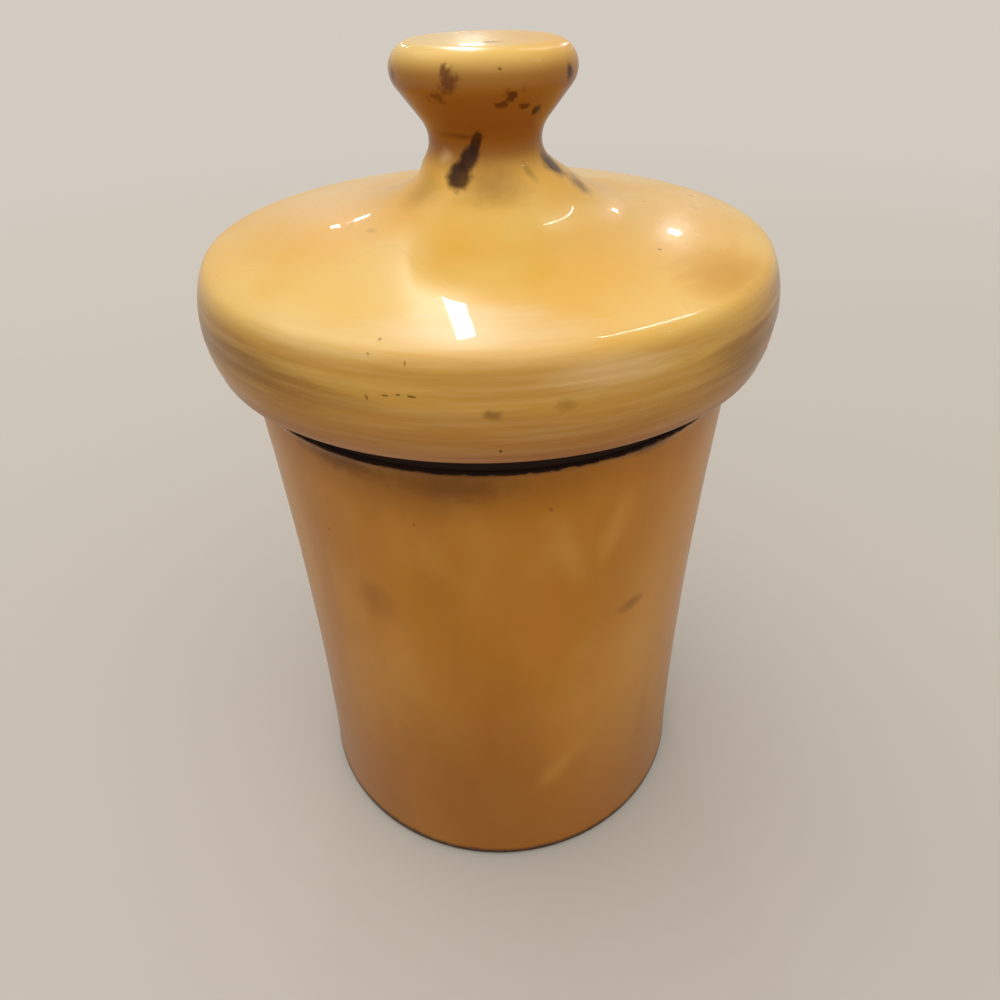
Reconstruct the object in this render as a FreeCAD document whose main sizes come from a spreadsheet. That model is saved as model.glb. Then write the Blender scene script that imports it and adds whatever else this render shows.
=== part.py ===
"""Ceramic tea canister: a thrown cylindrical jar and a domed lid with a turned knob.

The jar stands on a shallow foot ring and ends in a collar, set back from the wall, that
carries the lid. The lid is one turned outline: a rolled rim that overhangs the jar, a low
dome, a neck that sweeps up out of the dome, and a flared knob. Both pieces are solid inside,
because the canister is shut. Millimetres, +Z up, origin at the middle of the foot.
"""
import FreeCAD, Part
import math
import os

import Sketcher

SIZES = [
    # jar
    ("jar_height", 121.0, "foot to the top of the collar, where the lid sits"),
    ("rim_radius", 48.2, "outer radius of the wall at the top"),
    ("foot_taper", 0.7, "how much narrower the wall is at the foot"),
    ("wall_curve_radius", 1200.0, "slight hollow of the thrown wall"),
    ("foot_rounding", 1.4, "round of the foot's outer edge"),
    ("foot_ring_width", 6.0, "flat ring that the jar stands on"),
    ("foot_recess_depth", 1.5, "glazed hollow inside the foot ring"),
    ("collar_height", 4.9, "dark collar under the lid"),
    ("collar_recess", 0.9, "how far the collar is set back from the wall"),
    ("collar_rounding", 0.5, "fillet at the bottom of the collar"),
    # lid rim and dome
    ("lid_overhang", 6.2, "how far the lid reaches past the jar's rim"),
    ("rim_widest_height", 7.5, "seat to the widest place of the rolled rim"),
    ("rim_top_height", 17.5, "seat to the crest of the rim's shoulder"),
    ("rim_side_radius", 18.7, "roundness of the rim's side"),
    ("rim_lower_radius", 1.0, "round of the rim's lower edge"),
    ("rim_shoulder_radius", 2.7, "round between the rim's side and the dome"),
    ("dome_radius", 202.0, "radius of the shallow dome"),
    # neck and knob
    ("neck_radius", 10.1, "narrowest radius of the neck"),
    ("neck_height", 33.5, "seat to the narrowest place of the neck"),
    ("neck_lower_radius", 4.5, "tight curve just below the narrowest place"),
    ("neck_upper_radius", 5.5, "tight curve just above it"),
    ("sweep_radius", 26.0, "wide curve from the neck out to the dome"),
    ("knob_radius", 16.0, "widest radius of the knob"),
    ("knob_rim_radius", 4.2, "round of the knob's rim"),
    ("knob_crown_radius", 190.0, "radius of the knob's nearly flat top"),
    ("lid_height", 49.0, "seat to the top of the knob"),
    # worn place on the rim
    ("chip_bearing", 65.0, "degrees from the front, towards +X"),
    ("chip_height", 6.0, "seat to the middle of the chip"),
    ("chip_depth", 1.0, "how deep the chip bites into the rim"),
    ("chip_half_width", 6.5, "half length of the chip's tool along the rim"),
    ("chip_half_height", 3.4, "half height of the chip's tool"),
    ("chip_half_reach", 3.0, "half thickness of the chip's tool"),
]

doc = FreeCAD.newDocument("TeaCanister")
sheet = doc.addObject("Spreadsheet::Sheet", "Dimensions")
for row, (alias, value, note) in enumerate(SIZES, start=1):
    sheet.set(f"A{row}", alias)
    sheet.set(f"B{row}", str(value))
    sheet.set(f"C{row}", note)
    sheet.setAlias(f"B{row}", alias)
doc.recompute()


def size(alias):
    """A driving dimension, read back from the sheet."""
    return float(sheet.get(alias))


def new_body(label):
    body = doc.addObject("PartDesign::Body", label)
    body.Label = label
    return body


def origin_plane(body, role):
    return next(plane for plane in body.Origin.OriginFeatures if plane.Role == role)


def new_sketch(body, name):
    """A sketch on the body's upright plane: x is the radius, y the height."""
    sketch = body.newObject("Sketcher::SketchObject", name)
    sketch.AttachmentSupport = [(origin_plane(body, "XZ_Plane"), "")]
    sketch.MapMode = "FlatFace"
    return sketch


def vec(x, y):
    return FreeCAD.Vector(x, y, 0)


def add_line(sketch, start, end):
    return sketch.addGeometry(Part.LineSegment(vec(*start), vec(*end)), False)


def add_arc(sketch, centre, radius, start_degrees, end_degrees):
    """An arc run anticlockwise from start to end; the constraints then fix it."""
    circle = Part.Circle(vec(*centre), FreeCAD.Vector(0, 0, 1), radius)
    arc = Part.ArcOfCircle(circle, math.radians(start_degrees), math.radians(end_degrees))
    return sketch.addGeometry(arc, False)


def bind(sketch, constraint, name, expression, *arguments):
    """Adds a named driving constraint and ties its value to the sheet."""
    index = sketch.addConstraint(Sketcher.Constraint(constraint, *arguments))
    sketch.renameConstraint(index, name)
    sketch.setExpression(f"Constraints.{name}", expression)


def revolve(body, sketch, name, cut=False):
    feature = body.newObject("PartDesign::Groove" if cut else "PartDesign::Revolution", name)
    feature.Profile = sketch
    feature.ReferenceAxis = (sketch, ["V_Axis"])
    feature.Angle = 360
    doc.recompute()
    return feature


def rim_edges(shape, radius, height):
    """Names of the round edges of a turned shape at a radius and height."""
    names = []
    for number, edge in enumerate(shape.Edges, start=1):
        if not isinstance(edge.Curve, Part.Circle):
            continue
        centre = edge.Curve.Center
        if abs(edge.Curve.Radius - radius) < 0.02 and abs(centre.z - height) < 0.02:
            names.append(f"Edge{number}")
    return names


START, END, CENTRE = 1, 2, 3
V_AXIS, ROOT = -2, (-1, 1)


# ---------------------------------------------------------------- jar
def build_jar():
    """The jar: a turned wall, then the collar and the foot recess cut into it."""
    body = new_body("jar")
    rim, height = size("rim_radius"), size("jar_height")
    foot = rim - size("foot_taper")
    curve = size("wall_curve_radius")

    outline = new_sketch(body, "WallOutline")
    bottom = add_line(outline, (0, 0), (foot, 0))
    half_angle = math.degrees(math.asin(height / 2 / curve))
    wall_centre = ((foot + rim) / 2 + curve * math.cos(math.radians(half_angle)), height / 2)
    wall = add_arc(outline, wall_centre, curve, 180 - half_angle, 180 + half_angle)
    top = add_line(outline, (rim, height), (0, height))
    axis = add_line(outline, (0, height), (0, 0))
    joints = [(bottom, END, wall, END), (wall, START, top, START), (top, END, axis, START),
              (axis, END, bottom, START), (bottom, START, *ROOT)]
    for joint in joints:
        outline.addConstraint(Sketcher.Constraint("Coincident", *joint))
    outline.addConstraint(Sketcher.Constraint("Horizontal", bottom))
    outline.addConstraint(Sketcher.Constraint("Horizontal", top))
    outline.addConstraint(Sketcher.Constraint("Vertical", axis))
    bind(outline, "DistanceX", "foot", "Dimensions.rim_radius - Dimensions.foot_taper",
         bottom, START, bottom, END, foot)
    bind(outline, "DistanceX", "rim", "Dimensions.rim_radius", top, END, top, START, rim)
    bind(outline, "DistanceY", "height", "Dimensions.jar_height", axis, END, axis, START, height)
    bind(outline, "Radius", "hollow", "Dimensions.wall_curve_radius", wall, curve)
    revolve(body, outline, "Wall")

    collar = new_sketch(body, "CollarOutline")
    depth, collar_height = size("collar_recess"), size("collar_height")
    clear = 2.0  # the cutting tool runs this far past the wall and the rim
    draw_rectangle(collar, (rim - depth, height - collar_height), (rim + clear, height + clear))
    bind(collar, "DistanceX", "inner", "Dimensions.rim_radius - Dimensions.collar_recess",
         *ROOT, 0, START, rim - depth)
    bind(collar, "DistanceY", "ledge", "Dimensions.jar_height - Dimensions.collar_height",
         *ROOT, 0, START, height - collar_height)
    bind(collar, "DistanceX", "outer", f"Dimensions.rim_radius + {clear}", *ROOT, 1, END, rim + clear)
    bind(collar, "DistanceY", "past_rim", f"Dimensions.jar_height + {clear}",
         *ROOT, 1, END, height + clear)
    revolve(body, collar, "Collar", cut=True)

    recess = new_sketch(body, "FootRecessOutline")
    inside, rise = foot - size("foot_ring_width"), size("foot_recess_depth")
    draw_rectangle(recess, (0, -clear), (inside, rise))
    recess.addConstraint(Sketcher.Constraint("PointOnObject", 0, START, V_AXIS))
    bind(recess, "DistanceY", "under", f"{clear}", 0, START, *ROOT, clear)
    bind(recess, "DistanceX", "inside",
         "Dimensions.rim_radius - Dimensions.foot_taper - Dimensions.foot_ring_width",
         *ROOT, 1, END, inside)
    bind(recess, "DistanceY", "rise", "Dimensions.foot_recess_depth", *ROOT, 1, END, rise)
    revolve(body, recess, "FootRecess", cut=True)

    add_fillet(body, "FootRounding", "foot_rounding", foot, 0.0)
    add_fillet(body, "FootInnerRounding", "foot_recess_depth", inside, 0.0, share=0.5)
    add_fillet(body, "CollarRounding", "collar_rounding", rim - depth, height - collar_height)
    return body


def draw_rectangle(sketch, low, high):
    """Four closed lines: 0 bottom, 1 right, 2 top, 3 left."""
    corners = [low, (high[0], low[1]), high, (low[0], high[1])]
    for number in range(4):
        add_line(sketch, corners[number], corners[(number + 1) % 4])
    for number in range(4):
        joint = (number, END, (number + 1) % 4, START)
        sketch.addConstraint(Sketcher.Constraint("Coincident", *joint))
        level = "Horizontal" if number % 2 == 0 else "Vertical"
        sketch.addConstraint(Sketcher.Constraint(level, number))


def add_fillet(body, name, alias, radius, height, share=1.0):
    """A fillet on the round edge at this radius and height, sized from the sheet."""
    base = body.Tip
    edges = rim_edges(base.Shape, radius, height)
    if not edges:
        raise RuntimeError(f"{name}: no edge at radius {radius} and height {height}")
    fillet = body.newObject("PartDesign::Fillet", name)
    fillet.Base = (base, edges)
    fillet.Radius = size(alias) * share
    fillet.setExpression("Radius", f"Dimensions.{alias} * {share}")
    doc.recompute()


# ---------------------------------------------------------------- lid
def build_lid():
    """The lid: one outline of tangent arcs turned about the axis, with the chip cut from its rim."""
    body = new_body("lid")
    outline = new_sketch(body, "LidOutline")
    reach = size("rim_radius") + size("lid_overhang")
    side_radius, widest = size("rim_side_radius"), size("rim_widest_height")
    lower_radius, shoulder_radius = size("rim_lower_radius"), size("rim_shoulder_radius")
    shoulder_top, dome_radius = size("rim_top_height"), size("dome_radius")
    neck, neck_height = size("neck_radius"), size("neck_height")
    tight_below, tight_above = size("neck_lower_radius"), size("neck_upper_radius")
    sweep_radius, knob = size("sweep_radius"), size("knob_radius")
    knob_rim, crown_radius, top = size("knob_rim_radius"), size("knob_crown_radius"), size("lid_height")

    # Where the arcs' centres start; the tangencies below then hold them there.
    side = (reach - side_radius, widest)
    lower = (side[0] + math.sqrt((side_radius - lower_radius) ** 2 - (widest - lower_radius) ** 2),
             lower_radius)
    shoulder_rise = shoulder_top - shoulder_radius - widest
    shoulder = (side[0] + math.sqrt((side_radius - shoulder_radius) ** 2 - shoulder_rise ** 2),
                widest + shoulder_rise)
    dome = (0.0, shoulder[1] - math.sqrt((dome_radius - shoulder_radius) ** 2 - shoulder[0] ** 2))
    below = (neck + tight_below, neck_height)
    above = (neck + tight_above, neck_height)
    sweep = meeting_point(dome, dome_radius + sweep_radius, below, sweep_radius - tight_below)
    knob_x = knob - knob_rim
    knob_edge = (knob_x, top - crown_radius + math.sqrt((crown_radius - knob_rim) ** 2 - knob_x ** 2))
    crown = (0.0, top - crown_radius)

    side_low, side_high = bearing(side, lower), bearing(side, shoulder)
    dome_end, dome_start = bearing(dome, shoulder), bearing(dome, sweep)
    sweep_end, sweep_start = bearing(sweep, dome), bearing(sweep, below)
    flank = flank_angle(above, tight_above, knob_edge, knob_rim)
    crown_start = bearing(crown, knob_edge)

    underside = add_line(outline, (0, 0), (lower[0], 0))
    lower_arc = add_arc(outline, lower, lower_radius, -90, side_low)
    side_arc = add_arc(outline, side, side_radius, side_low, side_high)
    shoulder_arc = add_arc(outline, shoulder, shoulder_radius, side_high, dome_end)
    dome_arc = add_arc(outline, dome, dome_radius, dome_end, dome_start)
    sweep_arc = add_arc(outline, sweep, sweep_radius, sweep_start, sweep_end)
    below_arc = add_arc(outline, below, tight_below, 180, sweep_start)
    above_arc = add_arc(outline, above, tight_above, flank + 180, 180)
    flank_line = add_line(outline, on_circle(above, tight_above, flank + 180),
                          on_circle(knob_edge, knob_rim, flank))
    edge_arc = add_arc(outline, knob_edge, knob_rim, flank, crown_start)
    crown_arc = add_arc(outline, crown, crown_radius, crown_start, 90)
    axis = add_line(outline, (0, top), (0, 0))

    outline.addConstraint(Sketcher.Constraint("Coincident", underside, START, *ROOT))
    outline.addConstraint(Sketcher.Constraint("Horizontal", underside))
    tangencies = [(underside, END, lower_arc, START), (lower_arc, END, side_arc, START),
                  (side_arc, END, shoulder_arc, START), (shoulder_arc, END, dome_arc, START),
                  (dome_arc, END, sweep_arc, END), (sweep_arc, START, below_arc, END),
                  (below_arc, START, above_arc, END), (above_arc, START, flank_line, START),
                  (flank_line, END, edge_arc, START), (edge_arc, END, crown_arc, START)]
    for tangency in tangencies:
        outline.addConstraint(Sketcher.Constraint("Tangent", *tangency))
    outline.addConstraint(Sketcher.Constraint("Coincident", crown_arc, END, axis, START))
    outline.addConstraint(Sketcher.Constraint("Coincident", axis, END, underside, START))
    outline.addConstraint(Sketcher.Constraint("Vertical", axis))
    for arc in (dome_arc, crown_arc):
        outline.addConstraint(Sketcher.Constraint("PointOnObject", arc, CENTRE, V_AXIS))
    outline.addConstraint(Sketcher.Constraint("Horizontal", below_arc, CENTRE, above_arc, CENTRE))

    radii = [("lower", lower_arc, "rim_lower_radius"), ("side", side_arc, "rim_side_radius"),
             ("shoulder", shoulder_arc, "rim_shoulder_radius"), ("dome", dome_arc, "dome_radius"),
             ("sweep", sweep_arc, "sweep_radius"), ("neck_below", below_arc, "neck_lower_radius"),
             ("neck_above", above_arc, "neck_upper_radius"), ("knob_edge", edge_arc, "knob_rim_radius"),
             ("crown", crown_arc, "knob_crown_radius")]
    for name, arc, alias in radii:
        bind(outline, "Radius", name, f"Dimensions.{alias}", arc, size(alias))
    bind(outline, "DistanceX", "side_place",
         "Dimensions.rim_radius + Dimensions.lid_overhang - Dimensions.rim_side_radius",
         *ROOT, side_arc, CENTRE, side[0])
    bind(outline, "DistanceY", "widest", "Dimensions.rim_widest_height",
         *ROOT, side_arc, CENTRE, widest)
    bind(outline, "DistanceY", "shoulder_place",
         "Dimensions.rim_top_height - Dimensions.rim_shoulder_radius",
         *ROOT, shoulder_arc, CENTRE, shoulder[1])
    bind(outline, "DistanceX", "neck_place", "Dimensions.neck_radius + Dimensions.neck_lower_radius",
         *ROOT, below_arc, CENTRE, below[0])
    bind(outline, "DistanceY", "neck_level", "Dimensions.neck_height",
         *ROOT, below_arc, CENTRE, neck_height)
    bind(outline, "DistanceX", "knob_place", "Dimensions.knob_radius - Dimensions.knob_rim_radius",
         *ROOT, edge_arc, CENTRE, knob_x)
    bind(outline, "DistanceY", "height", "Dimensions.lid_height", axis, END, axis, START, top)
    revolve(body, outline, "TurnedLid")

    add_chip(body)
    body.setExpression(".Placement.Base.z", "Dimensions.jar_height")
    return body


def add_chip(body):
    """A shallow bite out of the rim: an ellipsoid that reaches chip_depth into the side."""
    chip = body.newObject("PartDesign::SubtractiveEllipsoid", "Chip")
    for axis_name, alias in (("Radius1", "chip_half_height"), ("Radius2", "chip_half_reach"),
                             ("Radius3", "chip_half_width")):
        chip.setExpression(axis_name, f"Dimensions.{alias}")
    chip.AttachmentSupport = [(origin_plane(body, "XY_Plane"), "")]
    chip.MapMode = "FlatFace"
    heading = "(Dimensions.chip_bearing - 90)"
    distance = ("(Dimensions.rim_radius + Dimensions.lid_overhang"
                " + Dimensions.chip_half_reach - Dimensions.chip_depth)")
    chip.setExpression("AttachmentOffset.Base.x", f"{distance} * cos({heading})")
    chip.setExpression("AttachmentOffset.Base.y", f"{distance} * sin({heading})")
    chip.setExpression("AttachmentOffset.Base.z", "Dimensions.chip_height")
    chip.setExpression("AttachmentOffset.Rotation.Angle", heading)
    doc.recompute()


def bearing(centre, other):
    """Direction in degrees from one centre to another."""
    return math.degrees(math.atan2(other[1] - centre[1], other[0] - centre[0]))


def on_circle(centre, radius, degrees):
    angle = math.radians(degrees)
    return centre[0] + radius * math.cos(angle), centre[1] + radius * math.sin(angle)


def meeting_point(first, first_distance, second, second_distance):
    """The point at given distances from two centres, on the side away from the axis."""
    gap = math.hypot(second[0] - first[0], second[1] - first[1])
    along = (first_distance ** 2 - second_distance ** 2 + gap ** 2) / (2 * gap)
    aside = math.sqrt(first_distance ** 2 - along ** 2)
    unit = ((second[0] - first[0]) / gap, (second[1] - first[1]) / gap)
    return first[0] + along * unit[0] + aside * unit[1], first[1] + along * unit[1] - aside * unit[0]


def flank_angle(above, above_radius, edge, edge_radius):
    """Direction of the flank's outward normal where it leaves the knob's rim."""
    gap = math.hypot(edge[0] - above[0], edge[1] - above[1])
    return bearing(above, edge) - math.degrees(math.acos(-(above_radius + edge_radius) / gap))


# ---------------------------------------------------------------- check and write
def check(bodies):
    doc.recompute()
    for item in doc.Objects:
        if "Invalid" in item.State or "Error" in item.State:
            raise RuntimeError(f"{item.Name} failed: {item.State}")
    for body in bodies:
        if body.Shape.isNull() or not body.Shape.isValid() or len(body.Shape.Solids) != 1:
            raise RuntimeError(f"{body.Label} is not one valid solid")


parts = [build_jar(), build_lid()]
check(parts)
os.makedirs("parts", exist_ok=True)
for part in parts:
    box = part.Shape.optimalBoundingBox(True)
    print(f"{part.Label}: volume {part.Shape.Volume:.1f} mm3, z {box.ZMin:.2f} to {box.ZMax:.2f},"
          f" width {box.XLength:.2f}")
    part.Shape.exportStep(f"parts/{part.Label}.step")
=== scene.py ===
import math

import bpy
from mathutils import Matrix, Vector


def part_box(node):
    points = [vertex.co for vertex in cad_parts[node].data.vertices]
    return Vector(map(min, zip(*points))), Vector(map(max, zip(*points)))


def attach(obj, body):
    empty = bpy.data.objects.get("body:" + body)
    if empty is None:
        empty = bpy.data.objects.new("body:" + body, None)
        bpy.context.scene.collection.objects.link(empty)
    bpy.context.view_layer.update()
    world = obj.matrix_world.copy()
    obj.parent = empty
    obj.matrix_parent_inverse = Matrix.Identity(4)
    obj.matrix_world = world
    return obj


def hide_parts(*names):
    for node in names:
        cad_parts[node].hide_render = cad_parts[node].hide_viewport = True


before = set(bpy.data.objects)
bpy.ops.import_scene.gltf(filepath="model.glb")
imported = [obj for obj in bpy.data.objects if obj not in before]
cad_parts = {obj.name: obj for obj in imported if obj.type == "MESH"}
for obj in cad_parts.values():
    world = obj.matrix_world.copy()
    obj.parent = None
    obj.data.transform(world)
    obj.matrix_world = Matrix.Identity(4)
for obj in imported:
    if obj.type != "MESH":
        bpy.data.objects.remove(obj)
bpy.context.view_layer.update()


# ---------------------------------------------------------------- viewpoint
# A phone held close in front of the canister and above it, looking steeply down, with a
# hand's slight turn and tilt. The short lens makes the jar narrow towards its foot.
camera_back, camera_height = 0.14367, 0.18293
look_down, look_aside, hand_tilt = math.radians(36.99), math.radians(0.44), math.radians(1.33)

forward = Vector((math.sin(look_aside) * math.cos(look_down),
                  math.cos(look_aside) * math.cos(look_down), -math.sin(look_down)))
level_right = Vector((math.cos(look_aside), -math.sin(look_aside), 0.0))
level_down = forward.cross(level_right)
right = math.cos(hand_tilt) * level_right + math.sin(hand_tilt) * level_down
down = -math.sin(hand_tilt) * level_right + math.cos(hand_tilt) * level_down

camera_data = bpy.data.cameras.new("camera")
camera_data.sensor_width = 36.0
camera_data.lens = 27.04
camera_data.clip_start = 0.01
camera = bpy.data.objects.new("camera", camera_data)
camera.matrix_world = (Matrix.Translation((0.0, -camera_back, camera_height))
                       @ Matrix((right, -down, -forward)).transposed().to_4x4())
bpy.context.scene.collection.objects.link(camera)
bpy.context.scene.camera = camera
bpy.context.scene.view_settings.view_transform = "Standard"


# ---------------------------------------------------------------- floor and light
# A wide pale table in an even pale room with two soft glows, and one broad lamp for the shadow.
# Small lamps, shaped like a window pane, a tube and far lamps, only show as shapes in the glaze.
def add_node(tree, kind, values=None, **settings):
    """A node with its settings, and its inputs filled from sockets or plain values."""
    node = tree.nodes.new(kind)
    for name, value in settings.items():
        setattr(node, name, value)
    for key, value in (values or {}).items():
        if isinstance(value, bpy.types.NodeSocket):
            tree.links.new(value, node.inputs[key])
        else:
            node.inputs[key].default_value = value
    return node


def new_material(name):
    material = bpy.data.materials.new(name)
    material.use_nodes = True
    material.node_tree.nodes.clear()
    return material, material.node_tree


def seen_rays(tree):
    """1 for the rays that show the room, straight or in a glossy or clear surface, 0 for the rest."""
    rays = add_node(tree, "ShaderNodeLightPath").outputs
    seen = add_node(tree, "ShaderNodeMath", {0: rays["Is Camera Ray"], 1: rays["Is Glossy Ray"]},
                    operation="MAXIMUM").outputs[0]
    return add_node(tree, "ShaderNodeMath", {0: seen, 1: rays["Is Transmission Ray"]},
                    operation="MAXIMUM").outputs[0]


floor_half = 4.0
shadow_reach, even_from = 0.12, 0.9
table_colour, far_table_colour = (0.54, 0.50, 0.45, 1.0), (0.65, 0.60, 0.54, 1.0)
floor_corners = [(-floor_half, -floor_half, 0), (floor_half, -floor_half, 0),
                 (floor_half, floor_half, 0), (-floor_half, floor_half, 0)]
floor_mesh = bpy.data.meshes.new("floor")
floor_mesh.from_pydata(floor_corners, [], [(0, 1, 2, 3)])
floor = bpy.data.objects.new("floor", floor_mesh)
bpy.context.scene.collection.objects.link(floor)
floor_material, floor_tree = new_material("pale_table")
floor_place = add_node(floor_tree, "ShaderNodeTexCoord").outputs["Object"]
reach = add_node(floor_tree, "ShaderNodeVectorMath", {0: floor_place}, operation="LENGTH")
far_off = add_node(floor_tree, "ShaderNodeMapRange",
                   {"Value": reach.outputs["Value"], "From Min": shadow_reach, "From Max": even_from},
                   interpolation_type="SMOOTHSTEP")
evened = add_node(floor_tree, "ShaderNodeMath", {0: seen_rays(floor_tree), 1: far_off.outputs[0]},
                  operation="MULTIPLY")
floor_shader = add_node(floor_tree, "ShaderNodeBsdfPrincipled",
                        {"Base Color": table_colour, "Roughness": 0.8})
floor_even = add_node(floor_tree, "ShaderNodeEmission", {"Color": far_table_colour, "Strength": 1.0})
floor_mix = add_node(floor_tree, "ShaderNodeMixShader",
                     {0: evened.outputs[0], 1: floor_shader.outputs[0], 2: floor_even.outputs[0]})
add_node(floor_tree, "ShaderNodeOutputMaterial", {"Surface": floor_mix.outputs[0]})
floor_mesh.materials.append(floor_material)


def heading_from(turn, rise):
    """The direction of a lamp or glow. turn is in degrees from the front towards +X."""
    turn, rise = math.radians(turn), math.radians(rise)
    return Vector((math.sin(turn) * math.cos(rise), -math.cos(turn) * math.cos(rise), math.sin(rise)))


room_light_colour, room_seen_colour = (1.0, 0.97, 0.92, 1.0), (0.66, 0.61, 0.55, 1.0)
room_level = 0.46
room_glows = [
    # the middle's turn and rise, then degrees from it to the glow's end and to its full strength
    (12.0, 45.0, 85.0, 10.0, 0.85),
    (180.0, 47.0, 32.0, 4.0, 0.3),
]
world = bpy.data.worlds.new("pale_room")
world.use_nodes = True
world.node_tree.nodes.clear()
sky_direction = add_node(world.node_tree, "ShaderNodeTexCoord").outputs["Generated"]
strength = room_level
for turn, rise, wide, narrow, amount in room_glows:
    facing = add_node(world.node_tree, "ShaderNodeVectorMath", {
        0: sky_direction, 1: tuple(heading_from(turn, rise))}, operation="DOT_PRODUCT")
    glow = add_node(world.node_tree, "ShaderNodeMapRange", {
        "Value": facing.outputs["Value"], "From Min": math.cos(math.radians(wide)),
        "From Max": math.cos(math.radians(narrow)), "To Max": amount}, interpolation_type="SMOOTHSTEP")
    strength = add_node(world.node_tree, "ShaderNodeMath", {0: strength, 1: glow.outputs[0]}).outputs[0]
room_light = add_node(world.node_tree, "ShaderNodeBackground",
                      {"Color": room_light_colour, "Strength": strength})
room_seen = add_node(world.node_tree, "ShaderNodeBackground",
                     {"Color": room_seen_colour, "Strength": 1.0})
room_mix = add_node(world.node_tree, "ShaderNodeMixShader",
                    {0: seen_rays(world.node_tree), 1: room_light.outputs[0], 2: room_seen.outputs[0]})
add_node(world.node_tree, "ShaderNodeOutputWorld", {"Surface": room_mix.outputs[0]})
bpy.context.scene.world = world


lamp_colour = (1.0, 0.98, 0.95)
lamp_aim = Vector((0.0, 0.0, 0.13))


def add_lamp(name, turn, rise, distance, width, height, power, spin=0.0, only_shine=True):
    """A flat lamp aimed at the lid. Most lamps only make a shape of light in the glaze."""
    lamp_data = bpy.data.lights.new(name, "AREA")
    lamp_data.shape = "RECTANGLE"
    lamp_data.size, lamp_data.size_y = width, height
    lamp_data.energy, lamp_data.color = power, lamp_colour
    lamp = bpy.data.objects.new(name, lamp_data)
    heading = heading_from(turn, rise)
    facing = heading.to_track_quat("Z", "Y").to_matrix().to_4x4()
    place = Matrix.Translation(lamp_aim + distance * heading)
    lamp.matrix_world = place @ facing @ Matrix.Rotation(math.radians(spin), 4, "Z")
    lamp.visible_diffuse = not only_shine
    bpy.context.scene.collection.objects.link(lamp)


# turn, rise, distance, width, height, power and spin
add_lamp("window_pane", -173.2, 46.6, 1.2, 0.05, 0.34, 7.0, 5.0)
add_lamp("low_window", -179.0, 14.0, 1.5, 0.05, 0.08, 0.12)
add_lamp("ceiling_tube", 148.0, 47.0, 1.2, 0.36, 0.011, 1.1, 62.0)
add_lamp("far_lamp_right", 158.0, 20.0, 1.6, 0.035, 0.035, 0.42)
add_lamp("far_lamp_left", -163.0, 18.5, 1.6, 0.03, 0.02, 0.25)
add_lamp("side_lamp", 86.0, 42.0, 1.4, 0.10, 0.03, 0.50)
add_lamp("overhead", -120.0, 62.0, 1.3, 1.0, 1.0, 4.2, only_shine=False)


# ---------------------------------------------------------------- jar
# The jar is thrown in pale earthenware: a straight wall drawn in slightly at its waist, a
# set-back collar washed with dark iron glaze, and a trimmed foot ring. Honey glaze covers the
# rest. It is darker towards the foot, and darker under the lid, where painted shade of the lid
# lies over the glaze. Painted contact shadow darkens the foot's edge.
jar_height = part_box("jar")[1].z
foot_radius, rim_radius = 0.0475, 0.0482
wall_curve_radius, foot_rounding = 1.2, 0.0014
foot_ring_width, foot_recess_depth = 0.006, 0.0015
collar_height, collar_recess, collar_rounding = 0.0049, 0.0009, 0.0005
ledge_height, ledge_rounding = jar_height - collar_height, 0.0006


def arc_points(centre, radius, start, end, step):
    """Points of an arc from one angle to another in degrees, at most step apart."""
    count = max(2, math.ceil(abs(math.radians(end - start)) * radius / step))
    angles = [math.radians(start + (end - start) * k / count) for k in range(count + 1)]
    return [(centre[0] + radius * math.cos(a), centre[1] + radius * math.sin(a)) for a in angles]


def line_points(start, end, step):
    """Points of a straight line, at most step apart."""
    count = max(1, math.ceil(math.dist(start, end) / step))
    return [tuple(start[i] + (end[i] - start[i]) * k / count for i in (0, 1)) for k in range(count + 1)]


def wall_radius(height):
    """The wall's radius: a chord from foot to rim, drawn in by the hollow of a wide arc."""
    along = height / jar_height
    chord = foot_radius + (rim_radius - foot_radius) * along
    half = jar_height / 2
    hollow = (half ** 2 - (height - half) ** 2) / (2 * wall_curve_radius)
    return chord - hollow


def jar_outline():
    """The jar's outline, from the middle of its underside round to the middle of its top."""
    flat_step, bend_step, wall_step = 0.004, 0.0004, 0.0012
    edge_step, collar_step, top_step = 0.0002, 0.0008, 0.006
    collar = rim_radius - collar_recess
    inner = foot_radius - foot_ring_width
    soft = foot_recess_depth * 0.5
    foot_edge = (foot_radius - foot_rounding, foot_rounding)
    ledge_edge = (rim_radius - ledge_rounding, ledge_height - ledge_rounding)
    collar_bottom = (collar + collar_rounding, ledge_height + collar_rounding)
    points = line_points((0.0, foot_recess_depth), (inner, foot_recess_depth), flat_step)
    points += arc_points((inner + soft, soft), soft, 180, 270, bend_step)
    points += arc_points(foot_edge, foot_rounding, -90, 0, bend_step)
    heights = [z for _, z in line_points((0, foot_rounding), (0, ledge_edge[1]), wall_step)]
    points += [(wall_radius(z), z) for z in heights[1:]]
    points += arc_points(ledge_edge, ledge_rounding, 0, 90, edge_step)
    points += arc_points(collar_bottom, collar_rounding, 270, 180, edge_step)
    points += line_points((collar, collar_bottom[1]), (collar, jar_height), collar_step)[1:]
    points += line_points((collar, jar_height), (0.0, jar_height), top_step)[1:]
    return points


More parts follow.
